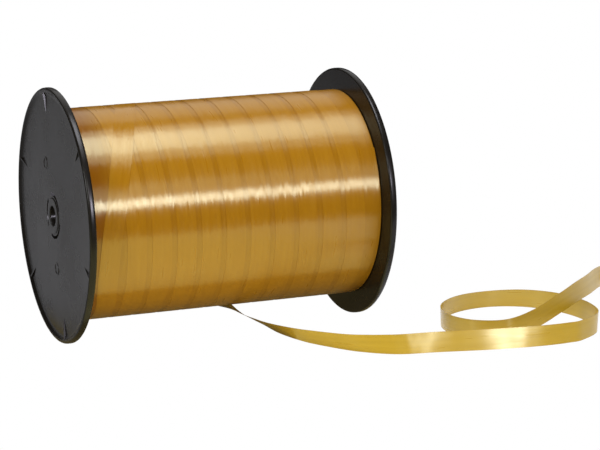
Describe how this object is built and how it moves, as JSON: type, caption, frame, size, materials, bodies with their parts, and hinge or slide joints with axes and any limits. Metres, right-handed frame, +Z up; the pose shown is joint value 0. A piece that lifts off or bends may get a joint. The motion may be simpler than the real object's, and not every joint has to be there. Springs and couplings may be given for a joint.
{
  "type": "spool of curling ribbon",
  "caption": "Two-flange plastic spool lying on its rims, wound with glossy narrow ribbon whose free end lies on edge in a loop beside it.",
  "frame": {"origin": "on the ground, under the middle of the spool: the bottom centre of the spool's box, without the ribbon's free end", "axes": "+Z up, X along the spool's axis, with flange_left at -X; the ribbon leaves the underside of the winding towards -Y"},
  "size_m": [0.3246, 0.1632, 0.125],
  "materials": {
    "black_plastic": "black moulded plastic, satin on the discs and glossy on the rims",
    "core_plastic": "dark grey moulded plastic",
    "gold_ribbon": "glossy gold polypropylene with fine lengthwise striations"
  },
  "bodies": {
    "root": {"flange_left": "black_plastic", "flange_right": "black_plastic", "centre_tube": "core_plastic", "winding_drum": "core_plastic", "ribbon_winding": "gold_ribbon", "ribbon_tail": "gold_ribbon"}
  },
  "joints": []
}
